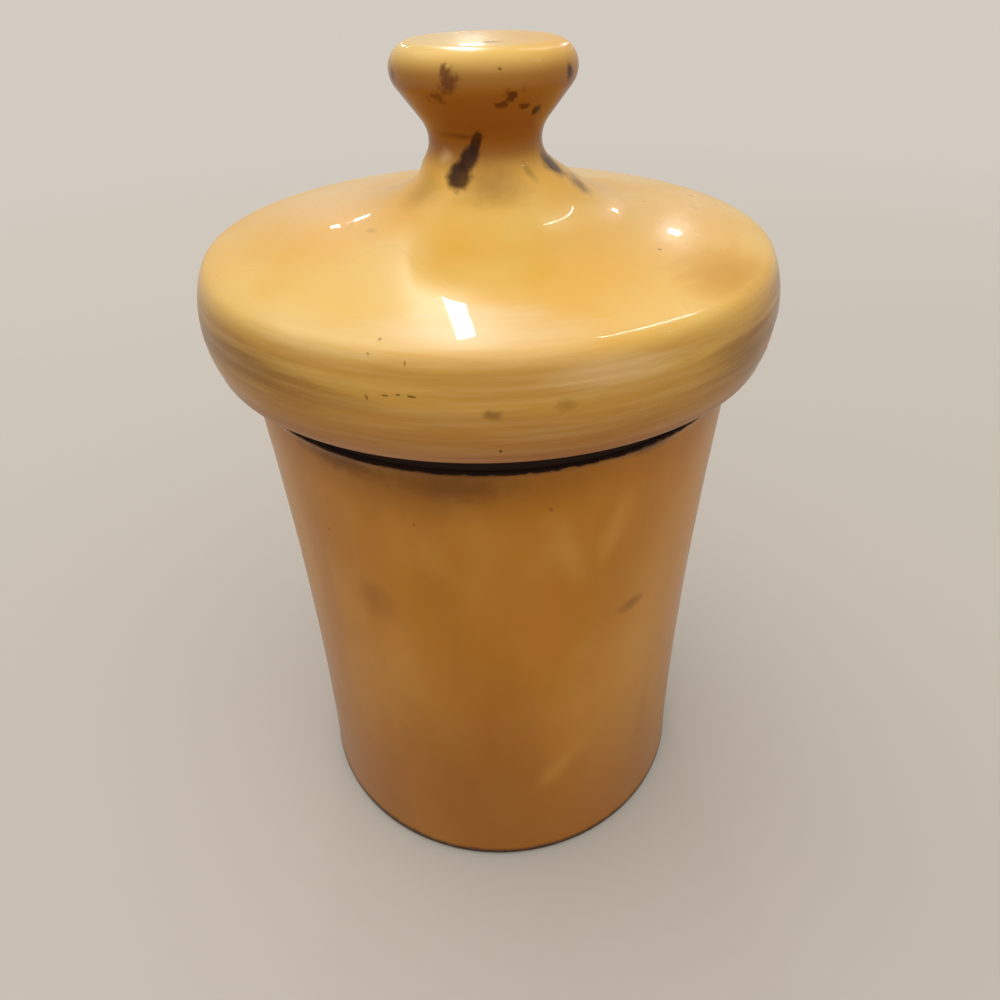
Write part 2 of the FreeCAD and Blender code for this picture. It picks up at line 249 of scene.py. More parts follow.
class Calc:
    """Short names for the arithmetic nodes of one tree."""

    def __init__(self, tree):
        self.tree = tree

    def math(self, operation, *values):
        node = add_node(self.tree, "ShaderNodeMath", operation=operation)
        for slot, value in enumerate(values):
            self.put(node.inputs[slot], value)
        return node.outputs[0]

    def vector(self, operation, *values, output=0):
        node = add_node(self.tree, "ShaderNodeVectorMath", operation=operation)
        slots = {"SCALE": (0, 3)}.get(operation, (0, 1, 2))
        for slot, value in zip(slots, values):
            self.put(node.inputs[slot], value)
        return node.outputs[output]

    def put(self, socket, value):
        if isinstance(value, bpy.types.NodeSocket):
            self.tree.links.new(value, socket)
        else:
            socket.default_value = value

    def split(self, vector):
        return add_node(self.tree, "ShaderNodeSeparateXYZ", {0: vector}).outputs

    def join(self, x, y, z):
        return add_node(self.tree, "ShaderNodeCombineXYZ", {0: x, 1: y, 2: z}).outputs[0]

    def ramp(self, value, low, high, to_low=0.0, to_high=1.0):
        """Smooth step from to_low at low to to_high at high."""
        node = add_node(self.tree, "ShaderNodeMapRange", interpolation_type="SMOOTHSTEP")
        for slot, item in enumerate((value, low, high, to_low, to_high)):
            self.put(node.inputs[slot], item)
        return node.outputs[0]

    def noise(self, vector, scale, detail=2.0, roughness=0.5, seed=0.0):
        node = add_node(self.tree, "ShaderNodeTexNoise", noise_dimensions="4D")
        for name, item in (("Vector", vector), ("W", seed), ("Scale", scale), ("Detail", detail),
                           ("Roughness", roughness)):
            self.put(node.inputs[name], item)
        return node.outputs[0]


def group_sockets(tree, inputs, outputs):
    """Names a group's inputs and outputs, and gives the sockets inside it."""
    for kind, name, value in inputs:
        socket = tree.interface.new_socket(name, in_out="INPUT", socket_type=kind)
        if value is not None:
            socket.default_value = value
    for kind, name in outputs:
        tree.interface.new_socket(name, in_out="OUTPUT", socket_type=kind)
    return tree.nodes.new("NodeGroupInput").outputs, tree.nodes.new("NodeGroupOutput").inputs


def turning_tree(name, extra_inputs=(), reshape=None):
    """Nodes that turn an outline mesh about +Z, then give it a hand-thrown unevenness."""
    sway_scale, ring_scale_across, ring_scale_up = 22.0, 6.0, 260.0
    highest_noise = 0.8
    tree = bpy.data.node_groups.new(name, "GeometryNodeTree")
    given, result = group_sockets(tree, [
        ("NodeSocketGeometry", "Outline", None), ("NodeSocketInt", "Segments", 240),
        ("NodeSocketFloat", "Out Of Round", 0.0003), ("NodeSocketFloat", "Throwing Rings", 0.0001),
        ("NodeSocketFloat", "Seed", 1.0), ("NodeSocketMaterial", "Glaze", None), *extra_inputs],
        [("NodeSocketGeometry", "Geometry")])
    calc = Calc(tree)
    rows = add_node(tree, "GeometryNodeAttributeDomainSize", {0: given["Outline"]}).outputs["Point Count"]
    columns = calc.math("ADD", given["Segments"], 1.0)
    grid = add_node(tree, "GeometryNodeMeshGrid", {"Vertices X": columns, "Vertices Y": rows})
    index = add_node(tree, "GeometryNodeInputIndex").outputs[0]
    row = calc.math("MODULO", index, rows)
    column = calc.math("DIVIDE", calc.math("SUBTRACT", index, row), rows)
    turn = calc.math("MULTIPLY", calc.math("DIVIDE", column, given["Segments"]), 2 * math.pi)
    own_place = add_node(tree, "GeometryNodeInputPosition").outputs[0]
    outline_point = add_node(tree, "GeometryNodeSampleIndex", data_type="FLOAT_VECTOR", domain="POINT")
    tree.links.new(given["Outline"], outline_point.inputs["Geometry"])
    tree.links.new(own_place, outline_point.inputs["Value"])
    tree.links.new(row, outline_point.inputs["Index"])
    radius, _, height = calc.split(outline_point.outputs["Value"])
    cosine, sine = calc.math("COSINE", turn), calc.math("SINE", turn)
    if reshape:
        radius = reshape(calc, given, radius, height, turn)
    turned = calc.join(calc.math("MULTIPLY", radius, cosine), calc.math("MULTIPLY", radius, sine), height)
    shaped = add_node(tree, "GeometryNodeSetPosition", {0: grid.outputs[0], "Position": turned})
    closed = add_node(tree, "GeometryNodeMergeByDistance", {0: shaped.outputs[0], "Distance": 1e-6})

    place = add_node(tree, "GeometryNodeInputPosition").outputs[0]
    x, y, z = calc.split(place)
    sway = calc.noise(place, sway_scale, 1.0, seed=given["Seed"])
    level = calc.join(calc.math("MULTIPLY", x, ring_scale_across),
                      calc.math("MULTIPLY", y, ring_scale_across),
                      calc.math("MULTIPLY", z, ring_scale_up))
    rings = calc.noise(level, 1.0, 2.0, seed=given["Seed"])
    # the noise stays below its highest value, so the surface only ever moves inwards
    swell = calc.math("MULTIPLY", calc.math("SUBTRACT", sway, highest_noise), given["Out Of Round"])
    ripple = calc.math("MULTIPLY", calc.math("SUBTRACT", rings, highest_noise),
                       given["Throwing Rings"])
    # flat tops have no rings, and the seat and the foot stay as they are
    normal = add_node(tree, "GeometryNodeInputNormal").outputs[0]
    steep = calc.ramp(calc.math("ABSOLUTE", calc.split(normal)[2]), 0.95, 0.999, 1.0, 0.0)
    seat_gap = calc.math("ABSOLUTE", calc.math("SUBTRACT", z, jar_height))
    clear = calc.math("MULTIPLY", calc.ramp(seat_gap, 0.0002, 0.0015), calc.ramp(z, 0.0005, 0.004))
    amount = calc.math("MULTIPLY", calc.math("ADD", swell, calc.math("MULTIPLY", ripple, steep)), clear)
    offset = calc.vector("SCALE", normal, amount)
    uneven = add_node(tree, "GeometryNodeSetPosition", {0: closed.outputs[0], "Offset": offset})
    smooth = add_node(tree, "GeometryNodeSetShadeSmooth", {0: uneven.outputs[0]})
    real = add_node(tree, "GeometryNodeRealizeInstances", {0: smooth.outputs[0]})
    glazed = add_node(tree, "GeometryNodeSetMaterial", {0: real.outputs[0], "Material": given["Glaze"]})
    tree.links.new(glazed.outputs[0], result[0])
    return tree


def turn_piece(name, outline, tree, values):
    """Turns an outline into a plain mesh piece with the tree's modifier, then drops the modifier."""
    line = bpy.data.meshes.new(name + "_outline")
    line_edges = [(k, k + 1) for k in range(len(outline) - 1)]
    line.from_pydata([(radius, 0.0, height) for radius, height in outline], line_edges, [])
    piece = bpy.data.objects.new(name, line)
    bpy.context.scene.collection.objects.link(piece)
    turning = piece.modifiers.new("turning", "NODES")
    turning.node_group = tree
    sockets = {item.name: item.identifier for item in tree.interface.items_tree if item.in_out == "INPUT"}
    for socket_name, value in values.items():
        turning[sockets[socket_name]] = value
    solid = bpy.data.meshes.new_from_object(piece.evaluated_get(bpy.context.evaluated_depsgraph_get()))
    piece.modifiers.clear()
    piece.data = solid
    return piece


def pattern_group(name, inputs, build):
    """A shader node group with named inputs and one mask that changes over the surface."""
    tree = bpy.data.node_groups.new(name, "ShaderNodeTree")
    given, result = group_sockets(tree, inputs, [("NodeSocketFloat", "Mask")])
    tree.links.new(build(Calc(tree), given), result[0])
    return tree


def build_streaks(calc, given):
    """Brush marks that run round the axis, fine across and long along."""
    fall_outwards = 0.7
    x, y, z = calc.split(given["Place"])
    radius = calc.math("SQRT", calc.math("ADD", calc.math("MULTIPLY", x, x), calc.math("MULTIPLY", y, y)))
    along = calc.vector("SCALE", calc.vector("NORMALIZE", calc.join(x, y, 0.0)), given["Length"])
    fall = calc.math("MULTIPLY", radius, fall_outwards)
    across = calc.math("MULTIPLY", calc.math("SUBTRACT", z, fall), given["Fineness"])
    path = calc.vector("ADD", along, calc.join(0.0, 0.0, across))
    value = calc.noise(path, 1.0, 4.0, 0.62, given["Seed"])
    return calc.ramp(value, given["Low"], given["High"])


streaks_group = pattern_group("brush_streaks", [
    ("NodeSocketVector", "Place", None), ("NodeSocketFloat", "Length", 2.5),
    ("NodeSocketFloat", "Fineness", 700.0), ("NodeSocketFloat", "Seed", 1.0),
    ("NodeSocketFloat", "Low", 0.42), ("NodeSocketFloat", "High", 0.62)], build_streaks)


def build_clouds(calc, given):
    """Soft clouds where the glaze lies thicker or thinner."""
    stretched = calc.vector("MULTIPLY", given["Place"], given["Stretch"])
    value = calc.noise(stretched, given["Scale"], 3.0, 0.55, given["Seed"])
    return calc.ramp(value, given["Low"], given["High"])


clouds_group = pattern_group("glaze_clouds", [
    ("NodeSocketVector", "Place", None), ("NodeSocketVector", "Stretch", (1.0, 1.0, 1.0)),
    ("NodeSocketFloat", "Scale", 40.0), ("NodeSocketFloat", "Seed", 1.0),
    ("NodeSocketFloat", "Low", 0.40), ("NodeSocketFloat", "High", 0.62)], build_clouds)


def build_patch(calc, given):
    """A soft or ragged oval on a turned surface: Reach is its half size along, through and up."""
    turned = add_node(calc.tree, "ShaderNodeVectorRotate", {
        "Vector": given["Place"], "Angle": calc.math("MULTIPLY", given["Bearing"], -1.0)},
        rotation_type="Z_AXIS").outputs[0]
    centre = calc.join(0.0, calc.math("MULTIPLY", given["Radius"], -1.0), given["Height"])
    level = add_node(calc.tree, "ShaderNodeVectorRotate", {
        "Vector": calc.vector("SUBTRACT", turned, centre), "Angle": given["Tilt"]},
        rotation_type="Y_AXIS").outputs[0]
    distance = calc.vector("LENGTH", calc.vector("DIVIDE", level, given["Reach"]), output=1)
    worn = calc.math("ADD", distance, calc.math("MULTIPLY", given["Ragged"], given["Raggedness"]))
    return calc.ramp(worn, 1.0, calc.math("SUBTRACT", 1.0, given["Softness"]))


patch_group = pattern_group("ragged_patch", [
    ("NodeSocketVector", "Place", None), ("NodeSocketFloat", "Bearing", 0.0),
    ("NodeSocketFloat", "Radius", 0.05), ("NodeSocketFloat", "Height", 0.1),
    ("NodeSocketVector", "Reach", (0.005, 0.005, 0.005)), ("NodeSocketFloat", "Tilt", 0.0),
    ("NodeSocketFloat", "Ragged", 0.0), ("NodeSocketFloat", "Raggedness", 1.0),
    ("NodeSocketFloat", "Softness", 0.4)], build_patch)


def use_group(tree, group, **values):
    """Places a pattern group; underscores in the names stand for spaces."""
    node = add_node(tree, "ShaderNodeGroup", node_tree=group)
    for name, value in values.items():
        Calc(tree).put(node.inputs[name.replace("_", " ")], value)
    return node.outputs[0]


def mix_colour(tree, factor, low, high):
    """The colour low where factor is 0 and high where it is 1."""
    node = add_node(tree, "ShaderNodeMix", data_type="RGBA")
    for slot, value in ((0, factor), (6, low), (7, high)):
        Calc(tree).put(node.inputs[slot], value)
    return node.outputs[2]


def srgb(red, green, blue):
    """A colour given the way it looks, as the linear value that the shader takes."""
    def linear(level):
        level /= 255.0
        return level / 12.92 if level <= 0.04045 else ((level + 0.055) / 1.055) ** 2.4
    return linear(red), linear(green), linear(blue), 1.0


def finish_glaze(tree, colour, roughness, height, coat):
    """A glossy glaze: a sharp coat over a softer body, both slightly wavy."""
    wavy = add_node(tree, "ShaderNodeBump", {"Strength": 0.3, "Distance": 0.00005, "Height": height})
    shader = add_node(tree, "ShaderNodeBsdfPrincipled", {
        "Base Color": colour, "Roughness": roughness, "Normal": wavy.outputs[0], "IOR": 1.40,
        "Specular IOR Level": 0.2, "Coat Weight": coat, "Coat Roughness": 0.03, "Coat IOR": 1.35})
    add_node(tree, "ShaderNodeOutputMaterial", {"Surface": shader.outputs[0]})


def add_marks(tree, colour, place, ragged, marks):
    """Lays marks over a colour, each with a bearing from the front, a place and a half size in mm."""
    for turn, radius, height, reach, tilt, raggedness, softness, tint, strength in marks:
        mark = use_group(tree, patch_group, Place=place, Bearing=math.radians(turn),
                         Radius=radius / 1000, Height=height / 1000,
                         Reach=tuple(half / 1000 for half in reach), Tilt=math.radians(tilt),
                         Ragged=ragged, Raggedness=raggedness, Softness=softness)
        colour = mix_colour(tree, Calc(tree).math("MULTIPLY", mark, strength), colour, tint)
    return colour


def centred(calc, value):
    """A noise from 0 to 1, moved to lie about 0."""
    return calc.math("SUBTRACT", value, 0.5)


amber, light_amber, brown = srgb(168, 108, 28), srgb(184, 132, 56), srgb(132, 76, 12)
umber, iron_and_shade, foot_dark_and_shadow = srgb(84, 44, 4), srgb(32, 16, 9), srgb(52, 30, 16)

jar_glaze, tree = new_material("jar_honey_glaze")
calc = Calc(tree)
place = add_node(tree, "ShaderNodeTexCoord").outputs["Object"]
z = calc.split(place)[2]
clouds = use_group(tree, clouds_group, Place=place, Stretch=(1.0, 1.0, 0.7), Scale=28.0, Seed=3.0,
                   Low=0.38, High=0.66)
runs = use_group(tree, clouds_group, Place=place, Stretch=(1.0, 1.0, 0.16), Scale=70.0, Seed=8.0)
grain = calc.noise(place, 420.0, 3.0, 0.6, seed=2.0)
waves = calc.noise(place, 170.0, 1.0, seed=4.0)
towards_foot = calc.ramp(z, 0.075, 0.0, 0.0, 0.62)
# painted shade of the lid over darker glaze, towards the jar's top
glaze_and_shade_under_lid = calc.ramp(z, 0.104, 0.116, 0.0, 0.35)
colour = mix_colour(tree, calc.math("MULTIPLY", clouds, 0.75), amber, light_amber)
colour = mix_colour(tree, calc.math("MULTIPLY", runs, 0.22), colour, brown)
colour = mix_colour(tree, towards_foot, colour, brown)
colour = mix_colour(tree, glaze_and_shade_under_lid, colour, brown)
jar_marks = [
    # turn, radius, height, half sizes, tilt, raggedness, softness, tint, strength
    # darker glaze with painted shade under the lid
    (-12.0, 48.0, 115.0, (36.0, 30.0, 14.0), 0.0, 0.2, 0.95, umber, 0.40),
    (-34.0, 48.0, 114.6, (14.0, 8.0, 3.6), -4.0, 0.9, 0.9, umber, 0.65),
    (-8.0, 48.0, 113.0, (15.0, 8.0, 4.6), 0.0, 0.9, 0.95, umber, 0.50),
    # painted contact shadow with darker glaze at the foot, stronger on the left
    (-36.0, 47.5, 0.5, (25.0, 20.0, 2.9), 0.0, 0.5, 0.7, iron_and_shade, 0.75),
    # darker and lighter patches, the collar's wash and specks
    (-8.0, 46.5, 34.0, (26.0, 24.0, 44.0), 0.0, 0.2, 0.95, brown, 0.45),
    (38.0, 46.5, 70.0, (17.0, 20.0, 40.0), 0.0, 0.2, 0.95, light_amber, 0.35),
    (-30.0, 46.6, 82.0, (6.0, 6.0, 8.0), 10.0, 0.8, 0.9, brown, 0.45),
    (34.0, 46.5, 77.5, (4.6, 6.0, 2.6), 8.0, 0.9, 0.95, umber, 0.45),
    (15.0, 47.0, 97.0, (4.5, 6.0, 13.0), 20.0, 0.5, 0.98, light_amber, 0.55),
    (26.0, 47.2, 99.0, (4.0, 6.0, 12.0), -20.0, 0.5, 0.98, light_amber, 0.55),
    (-14.0, 47.0, 97.0, (5.0, 6.0, 7.0), 0.0, 0.5, 0.98, light_amber, 0.40),
    (16.0, 46.4, 33.0, (4.0, 6.0, 14.0), -38.0, 0.4, 0.98, light_amber, 0.35),
    (33.0, 48.0, 115.6, (9.0, 4.0, 1.8), 0.0, 0.9, 0.9, iron_and_shade, 0.6),
    (-41.0, 47.0, 95.8, (0.45, 1.0, 0.4), 0.0, 0.6, 0.6, umber, 0.6),
    (11.0, 47.5, 107.5, (0.4, 1.0, 0.45), 0.0, 0.6, 0.6, umber, 0.6),
    (-17.0, 47.5, 104.0, (0.3, 1.0, 0.3), 0.0, 0.6, 0.6, umber, 0.5),
    (-128.0, 47.0, 62.0, (5.0, 6.0, 4.0), 20.0, 0.9, 0.8, brown, 0.5),
    (146.0, 46.5, 88.0, (3.0, 5.0, 9.0), -15.0, 0.7, 0.9, light_amber, 0.4),
]
colour = add_marks(tree, colour, place, centred(calc, grain), jar_marks)
ragged_edge = 0.0012
ragged_height = calc.math("ADD", z, calc.math("MULTIPLY", centred(calc, grain), ragged_edge))
collar_mask = calc.ramp(ragged_height, ledge_height - 0.0007, ledge_height - 0.0003)
colour = mix_colour(tree, collar_mask, colour, iron_and_shade)
# the dark foot edge, with painted contact shadow over it
foot_and_shadow_mask = calc.ramp(ragged_height, 0.0030, 0.0014)
colour = mix_colour(tree, foot_and_shadow_mask, colour, foot_dark_and_shadow)
roughness = calc.math("ADD", calc.ramp(clouds, 0.0, 1.0, 0.28, 0.36),
                      calc.math("MULTIPLY", collar_mask, 0.35))
coat = calc.math("MULTIPLY", calc.math("SUBTRACT", 1.0, collar_mask), 0.15)
finish_glaze(tree, colour, roughness, waves, coat)

jar_tree = turning_tree("turned_jar")
jar = turn_piece("jar_glazed", jar_outline(), jar_tree, {
    "Segments": 288, "Out Of Round": 0.0003, "Throwing Rings": 0.00008, "Seed": 4.0,
    "Glaze": jar_glaze})
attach(jar, "root")
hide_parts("jar")


# ---------------------------------------------------------------- lid
# The lid is turned in one piece with its knob: a rolled rim that overhangs the jar, a low dome,
# and a neck that sweeps up to a flared knob. The golden glaze is brushed on, browner down the
# rim's side, with scorched patches round the knob and a chip in the rim that shows the pale clay,
# with a painted highlight on its edge. Painted shade lies in the brown down the rim's sides, and
# painted reflections and sheen lie in pale marks on the rim, the dome and the neck, and in the
# pinkish lower edge.
seat, lid_top = (corner.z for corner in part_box("lid"))
lid_overhang = 0.0062
lid_reach = rim_radius + lid_overhang
side_radius, side_height = 0.0187, seat + 0.0075
lower_radius, shoulder_radius, shoulder_top = 0.001, 0.0027, seat + 0.0175
dome_radius, sweep_radius = 0.202, 0.026
neck_radius, neck_height = 0.0101, seat + 0.0335
tight_below, tight_above = 0.0045, 0.0055
knob_radius, knob_rim_radius, crown_radius = 0.016, 0.0042, 0.190
chip_turn, chip_height, chip_depth = math.radians(65.0 - 90.0), seat + 0.006, 0.001
chip_half_width, chip_half_height, chip_half_reach = 0.0065, 0.0034, 0.003


def bearing(centre, other):
    """The direction from one point to another in degrees."""
    return math.degrees(math.atan2(other[1] - centre[1], other[0] - centre[0]))


def meeting_point(first, first_distance, second, second_distance):
    """The point at given distances from two centres, on the side away from the axis."""
    gap = math.dist(first, second)
    along = (first_distance ** 2 - second_distance ** 2 + gap ** 2) / (2 * gap)
    aside = math.sqrt(first_distance ** 2 - along ** 2)
    unit = ((second[0] - first[0]) / gap, (second[1] - first[1]) / gap)
    return first[0] + along * unit[0] + aside * unit[1], first[1] + along * unit[1] - aside * unit[0]


def lid_outline():
    """The tangent arcs of the lid, from the middle of its underside round to the knob's top."""
    under_step, lower_step, side_step, shoulder_step = 0.006, 0.0003, 0.0006, 0.0004
    dome_step, sweep_step, neck_step = 0.001, 0.0007, 0.0005
    knob_rim_step, flank_step, crown_step = 0.0004, 0.0006, 0.0012
    side = (lid_reach - side_radius, side_height)
    lower_z = seat + lower_radius
    lower_aside = math.sqrt((side_radius - lower_radius) ** 2 - (side_height - lower_z) ** 2)
    lower = (side[0] + lower_aside, lower_z)
    shoulder_z = shoulder_top - shoulder_radius
    shoulder_aside = math.sqrt((side_radius - shoulder_radius) ** 2 - (shoulder_z - side_height) ** 2)
    shoulder = (side[0] + shoulder_aside, shoulder_z)
    dome = (0.0, shoulder_z - math.sqrt((dome_radius - shoulder_radius) ** 2 - shoulder[0] ** 2))
    below, above = (neck_radius + tight_below, neck_height), (neck_radius + tight_above, neck_height)
    sweep = meeting_point(dome, dome_radius + sweep_radius, below, sweep_radius - tight_below)
    knob_x = knob_radius - knob_rim_radius
    crown = (0.0, lid_top - crown_radius)
    edge = (knob_x, crown[1] + math.sqrt((crown_radius - knob_rim_radius) ** 2 - knob_x ** 2))
    crossing = math.acos(-(tight_above + knob_rim_radius) / math.dist(above, edge))
    flank = bearing(above, edge) - math.degrees(crossing)
    narrow = 180.0
    sweep_start = bearing(sweep, below) % 360
    side_start, side_end = bearing(side, lower), bearing(side, shoulder)
    shoulder_end, dome_end = bearing(dome, shoulder), bearing(dome, sweep)
    points = line_points((0.0, seat), (lower[0], seat), under_step)
    points += arc_points(lower, lower_radius, -90, side_start, lower_step)[1:]
    points += arc_points(side, side_radius, side_start, side_end, side_step)[1:]
    points += arc_points(shoulder, shoulder_radius, side_end, shoulder_end, shoulder_step)[1:]
    points += arc_points(dome, dome_radius, shoulder_end, dome_end, dome_step)[1:]
    points += arc_points(sweep, sweep_radius, bearing(sweep, dome) % 360, sweep_start, sweep_step)[1:]
    points += arc_points(below, tight_below, sweep_start, narrow, neck_step)[1:]
    points += arc_points(above, tight_above, narrow, flank + 180, neck_step)[1:]
    flank_top = arc_points(edge, knob_rim_radius, flank, bearing(crown, edge), knob_rim_step)
    points += line_points(points[-1], flank_top[0], flank_step)[1:]
    points += flank_top[1:]
    points += arc_points(crown, crown_radius, bearing(crown, edge), 90, crown_step)[1:]
    return points


def shape_by_hand(calc, given, radius, height, turn):
    """The sweep leans out on one side, and a chip bites into the rim."""
    lean_back, well_clear = 0.3, 0.05
    past_neck, before_rim = calc.ramp(radius, 0.0105, 0.015), calc.ramp(radius, 0.030, 0.018)
    above_dome = calc.ramp(height, seat + 0.020, seat + 0.023)
    below_neck = calc.ramp(height, seat + 0.033, seat + 0.029)
    window = calc.math("MULTIPLY", calc.math("MULTIPLY", past_neck, before_rim),
                       calc.math("MULTIPLY", above_dome, below_neck))
    swing = calc.math("COSINE", calc.math("SUBTRACT", turn, given["Lean Turn"]))
    lean = calc.math("MULTIPLY", calc.math("MULTIPLY", window, given["Lean"]),
                     calc.math("SUBTRACT", swing, lean_back))
    leaning = calc.math("ADD", radius, lean)

    apart = calc.math("SUBTRACT", turn, given["Chip Turn"])
    aside = calc.math("DIVIDE", calc.math("MULTIPLY", calc.math("SINE", apart), radius),
                      given["Chip Half Width"])
    up = calc.math("DIVIDE", calc.math("SUBTRACT", height, given["Chip Height"]),
                   given["Chip Half Height"])
    spread = calc.math("ADD", calc.math("MULTIPLY", aside, aside), calc.math("MULTIPLY", up, up))
    inside = calc.math("SUBTRACT", 1.0, spread)
    facing = calc.ramp(calc.math("COSINE", apart), 0.0, 0.2)
    hollow = calc.math("MULTIPLY", calc.math("SQRT", calc.math("MAXIMUM", inside, 0.0)),
                       calc.math("MULTIPLY", given["Chip Half Reach"], facing))
    tool_middle = calc.math("ADD", given["Chip Half Reach"], lid_reach - chip_depth)
    tool = calc.math("SUBTRACT", tool_middle, hollow)
    out_of_the_way = calc.ramp(inside, 0.02, 0.0, 0.0, well_clear)
    return calc.math("MINIMUM", leaning, calc.math("ADD", tool, out_of_the_way))


golden, warm_gold, ochre = srgb(232, 192, 106), srgb(229, 176, 76), srgb(186, 142, 60)
toffee, pinkish, cream = srgb(152, 98, 40), srgb(146, 94, 58), srgb(238, 212, 164)
patina_and_shade, scorch, chip_clay_and_highlight = srgb(126, 84, 22), srgb(48, 18, 6), srgb(206, 160, 140)
knob_amber, deep_amber, olive = srgb(144, 92, 26), srgb(136, 76, 16), srgb(132, 106, 50)
char, orange_gold = srgb(84, 36, 6), srgb(206, 150, 50)

lid_glaze, tree = new_material("lid_golden_glaze")
calc = Calc(tree)
place = add_node(tree, "ShaderNodeTexCoord").outputs["Object"]
z = calc.split(place)[2]
# height above the seat in millimetres
rise = calc.math("MULTIPLY", calc.math("SUBTRACT", z, seat), 1000.0)
clouds = use_group(tree, clouds_group, Place=place, Scale=24.0, Seed=11.0)
dark_streaks = use_group(tree, streaks_group, Place=place, Length=2.6, Fineness=520.0, Seed=6.0,
                         Low=0.36, High=0.70)
pale_streaks = use_group(tree, streaks_group, Place=place, Length=2.0, Fineness=900.0, Seed=9.0,
                         Low=0.38, High=0.70)
grain = calc.noise(place, 650.0, 3.0, 0.6, seed=5.0)
waves = calc.noise(place, 170.0, 1.0, seed=9.0)
side = calc.ramp(rise, 18.2, 14.0)
low_side, lower_edge = calc.ramp(rise, 13.0, 2.0, 0.0, 0.85), calc.ramp(rise, 3.0, 1.0, 0.0, 0.7)
colour = mix_colour(tree, clouds, golden, warm_gold)
colour = mix_colour(tree, calc.math("MULTIPLY", side, 0.95), colour, ochre)
colour = mix_colour(tree, low_side, colour, toffee)
# pinkish along the lower edge: a painted reflection of the table
colour = mix_colour(tree, lower_edge, colour, pinkish)
brushed_marks = [
    # turn, radius, height above the seat, half sizes, tilt, raggedness, softness, tint, strength
    # brown glaze with painted shade down the rim's left side
    (-48.0, 54.0, 9.8, (30.0, 30.0, 5.4), 0.0, 0.34, 0.9, patina_and_shade, 0.90),
    (-72.0, 54.0, 9.4, (24.0, 30.0, 5.6), 0.0, 0.34, 0.9, umber, 0.50),
    # painted reflections on the shoulder and down the rim's front
    (-33.0, 51.0, 16.8, (18.0, 10.0, 2.4), -3.0, 0.34, 0.95, cream, 0.25),
    (19.0, 53.3, 13.4, (14.0, 12.0, 2.8), 0.0, 0.34, 0.95, cream, 0.32),
    # brown glaze with painted shade down the rim's right side
    (54.0, 54.0, 8.6, (23.0, 26.0, 6.6), 0.0, 0.34, 0.8, patina_and_shade, 1.0),
    (72.0, 54.0, 10.0, (17.0, 17.0, 7.0), 0.0, 0.34, 0.9, umber, 0.65),
    (56.0, 54.0, 3.4, (12.0, 12.0, 3.6), 0.0, 0.34, 0.9, umber, 0.45),
    # orange glaze on the dome's right
    (55.0, 46.0, 18.2, (15.0, 12.0, 5.0), 0.0, 0.3, 0.95, orange_gold, 0.95),
    # a painted sheen on the dome's front edge
    (-2.0, 47.0, 18.0, (26.0, 11.0, 4.0), 0.0, 0.3, 0.98, cream, 0.55),
    # paler and warmer patches on the dome, brown patches round the rim's back
    (-115.0, 35.0, 20.8, (28.0, 22.0, 6.0), 0.0, 0.3, 0.98, cream, 0.35),
    (74.0, 38.0, 20.5, (24.0, 18.0, 6.0), 0.0, 0.3, 0.98, warm_gold, 0.70),
    (-150.0, 54.0, 9.0, (22.0, 20.0, 4.5), 0.0, 0.34, 0.9, patina_and_shade, 0.60),
    (130.0, 54.0, 7.0, (18.0, 20.0, 4.0), 0.0, 0.34, 0.9, patina_and_shade, 0.55),
]


def above_seat(marks):
    """The same marks with their heights counted from the foot instead of the seat."""
    return [(turn, radius, seat * 1000 + height, *rest) for turn, radius, height, *rest in marks]


colour = add_marks(tree, colour, place, centred(calc, dark_streaks), above_seat(brushed_marks))
broad_bands = use_group(tree, streaks_group, Place=place, Length=1.4, Fineness=260.0, Seed=2.0)
banding = calc.math("MULTIPLY", side, 0.25)
colour = mix_colour(tree, calc.math("MULTIPLY", broad_bands, banding), colour, toffee)
brushing = calc.math("MULTIPLY", side, 0.10)
colour = mix_colour(tree, calc.math("MULTIPLY", dark_streaks, brushing), colour, patina_and_shade)
colour = mix_colour(tree, calc.math("MULTIPLY", pale_streaks, brushing), colour, cream)
knob_side = calc.math("MULTIPLY", calc.ramp(rise, 28.5, 33.5), calc.ramp(rise, 48.4, 44.5))
colour = mix_colour(tree, calc.math("MULTIPLY", knob_side, 0.9), colour, knob_amber)
knob_under = calc.math("MULTIPLY", calc.ramp(rise, 31.0, 35.5), calc.ramp(rise, 45.5, 41.0))
colour = mix_colour(tree, calc.math("MULTIPLY", knob_under, 0.85), colour, deep_amber)
